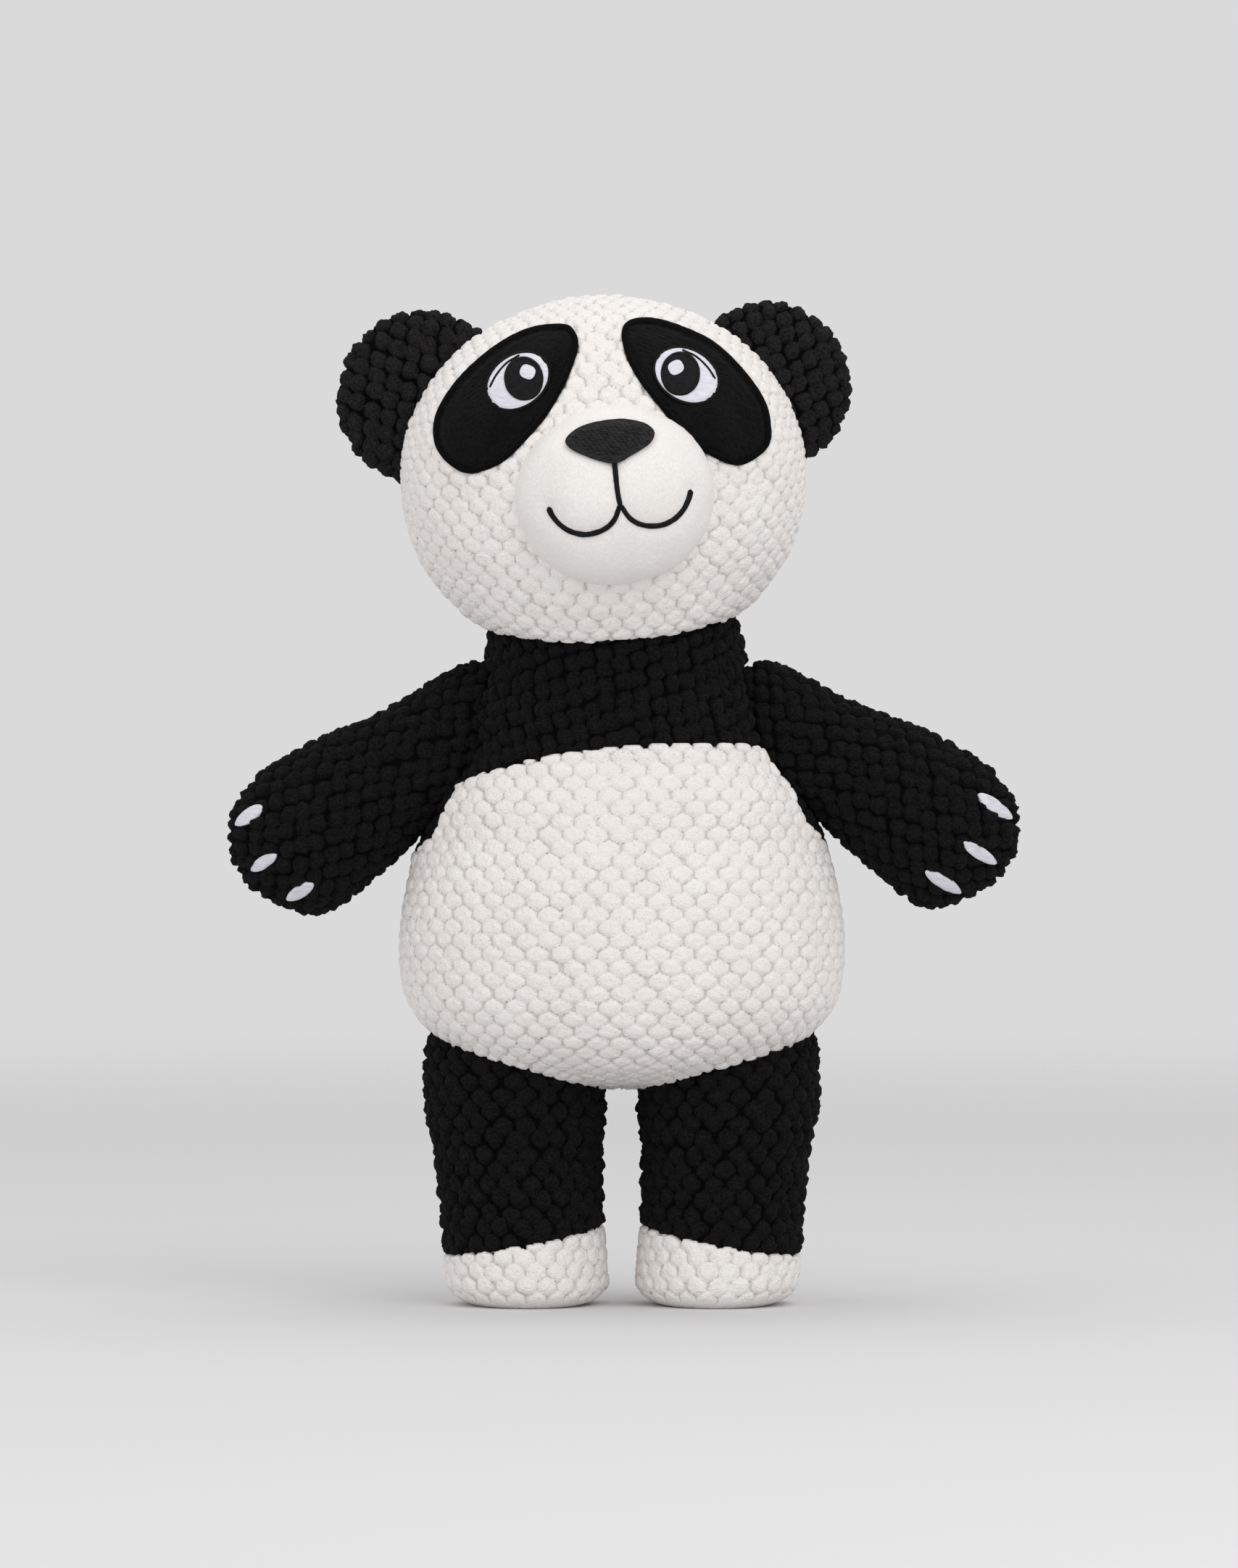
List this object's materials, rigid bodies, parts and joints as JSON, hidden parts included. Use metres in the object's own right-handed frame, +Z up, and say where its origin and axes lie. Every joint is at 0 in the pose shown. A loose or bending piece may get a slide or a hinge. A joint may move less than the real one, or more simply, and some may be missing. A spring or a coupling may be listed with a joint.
{
  "type": "plush panda",
  "caption": "Standing soft toy panda in black and white bobble plush, with stuffed head, ears, arms and legs sewn to a pear-shaped body and an embroidered face.",
  "frame": {"origin": "on the floor under the middle of the whole outline, seen from above", "axes": "+Z up, the face looks along -Y, the panda's own left is +X"},
  "size_m": [0.3552, 0.1951, 0.451],
  "materials": {
    "white_bobble_plush": "matte",
    "black_bobble_plush": "matte",
    "cream_short_pile": "matte",
    "black_short_pile": "matte",
    "black_embroidery": "satin",
    "white_embroidery": "satin",
    "sewing_thread": "satin",
    "fibre_filling": "matte",
    "white_sole_cloth": "matte",
    "sole_board": "matte",
    "plastic_pellets": "matte"
  },
  "bodies": {
    "torso": {"chest_panel": "black_bobble_plush", "upper_back_panel": "black_bobble_plush", "belly_panel": "white_bobble_plush", "lower_back_panel": "white_bobble_plush", "torso_stuffing": "fibre_filling", "back_closing_thread": "sewing_thread", "hip_stitching_left": "sewing_thread", "hip_stitching_right": "sewing_thread"},
    "neck_drawstring": {"neck_drawstring": "sewing_thread"},
    "neck_stitching": {"neck_stitching": "sewing_thread"},
    "head": {"head_front_panel": "white_bobble_plush", "head_back_panel": "white_bobble_plush", "head_stuffing": "fibre_filling", "muzzle_cover": "cream_short_pile", "muzzle_stuffing": "fibre_filling", "nose_embroidery": "black_embroidery", "mouth_embroidery": "black_embroidery", "eye_patch_left": "black_short_pile", "eye_patch_right": "black_short_pile", "eye_white_left": "white_embroidery", "eye_white_right": "white_embroidery", "iris_left": "black_embroidery", "iris_right": "black_embroidery", "eye_highlight_left": "white_embroidery", "eye_highlight_right": "white_embroidery"},
    "ear_left": {"ear_front_left": "black_bobble_plush", "ear_back_left": "black_bobble_plush", "ear_stuffing_left": "fibre_filling"},
    "shoulder_left": {"shoulder_stitching_left": "sewing_thread"},
    "arm_left": {"arm_front_left": "black_bobble_plush", "arm_back_left": "black_bobble_plush", "arm_stuffing_left": "fibre_filling", "claws_left": "white_embroidery"},
    "leg_left": {"leg_cover_left": "black_bobble_plush", "leg_stuffing_left": "fibre_filling", "foot_band_left": "white_bobble_plush", "sole_left": "white_sole_cloth", "sole_board_left": "sole_board", "pellet_bag_left": "plastic_pellets"},
    "ear_right": {"ear_front_right": "black_bobble_plush", "ear_back_right": "black_bobble_plush", "ear_stuffing_right": "fibre_filling"},
    "shoulder_right": {"shoulder_stitching_right": "sewing_thread"},
    "arm_right": {"arm_front_right": "black_bobble_plush", "arm_back_right": "black_bobble_plush", "arm_stuffing_right": "fibre_filling", "claws_right": "white_embroidery"},
    "leg_right": {"leg_cover_right": "black_bobble_plush", "leg_stuffing_right": "fibre_filling", "foot_band_right": "white_bobble_plush", "sole_right": "white_sole_cloth", "sole_board_right": "sole_board", "pellet_bag_right": "plastic_pellets"}
  },
  "joints": [
    {"name": "neck_turn", "type": "hinge", "parent": "torso", "child": "neck_drawstring", "pos_m": [-0.003, 0.023, 0.283], "axis": [0, 0, 1], "range_deg": [-40, 40], "stiffness_Nm_per_rad": 1.5},
    {"name": "neck_tilt", "type": "hinge", "parent": "neck_drawstring", "child": "neck_stitching", "pos_m": [-0.003, 0.023, 0.283], "axis": [0, -1, 0], "range_deg": [-12, 12], "stiffness_Nm_per_rad": 1.5},
    {"name": "neck_nod", "type": "hinge", "parent": "neck_stitching", "child": "head", "pos_m": [-0.003, 0.023, 0.283], "axis": [-1, 0, 0], "range_deg": [-20, 15], "stiffness_Nm_per_rad": 1.5},
    {"name": "ear_left_fold", "type": "hinge", "parent": "head", "child": "ear_left", "pos_m": [0.056, 0.014, 0.41143], "axis": [0.5299, 0, -0.848], "range_deg": [-25, 25], "stiffness_Nm_per_rad": 0.05},
    {"name": "ear_right_fold", "type": "hinge", "parent": "head", "child": "ear_right", "pos_m": [-0.07682, 0.014, 0.40447], "axis": [0.4384, 0, 0.8988], "range_deg": [-25, 25], "stiffness_Nm_per_rad": 0.05},
    {"name": "arm_left_raise", "type": "hinge", "parent": "torso", "child": "shoulder_left", "pos_m": [0.07, 0.023, 0.253], "axis": [0, -1, 0], "range_deg": [-6, 50], "stiffness_Nm_per_rad": 1},
    {"name": "arm_left_swing", "type": "hinge", "parent": "shoulder_left", "child": "arm_left", "pos_m": [0.07, 0.023, 0.253], "axis": [-0.4848, 0, -0.8746], "range_deg": [-25, 40], "stiffness_Nm_per_rad": 1},
    {"name": "arm_right_raise", "type": "hinge", "parent": "torso", "child": "shoulder_right", "pos_m": [-0.07, 0.023, 0.253], "axis": [0, 1, 0], "range_deg": [-6, 50], "stiffness_Nm_per_rad": 1},
    {"name": "arm_right_swing", "type": "hinge", "parent": "shoulder_right", "child": "arm_right", "pos_m": [-0.07, 0.023, 0.253], "axis": [-0.4848, 0, 0.8746], "range_deg": [-25, 40], "stiffness_Nm_per_rad": 1},
    {"name": "leg_left_swing", "type": "hinge", "parent": "torso", "child": "leg_left", "pos_m": [0.048, 0.023, 0.092], "axis": [-1, 0, 0], "range_deg": [-12, 55], "stiffness_Nm_per_rad": 3},
    {"name": "leg_right_swing", "type": "hinge", "parent": "torso", "child": "leg_right", "pos_m": [-0.048, 0.023, 0.092], "axis": [-1, 0, 0], "range_deg": [-12, 55], "stiffness_Nm_per_rad": 3}
  ]
}
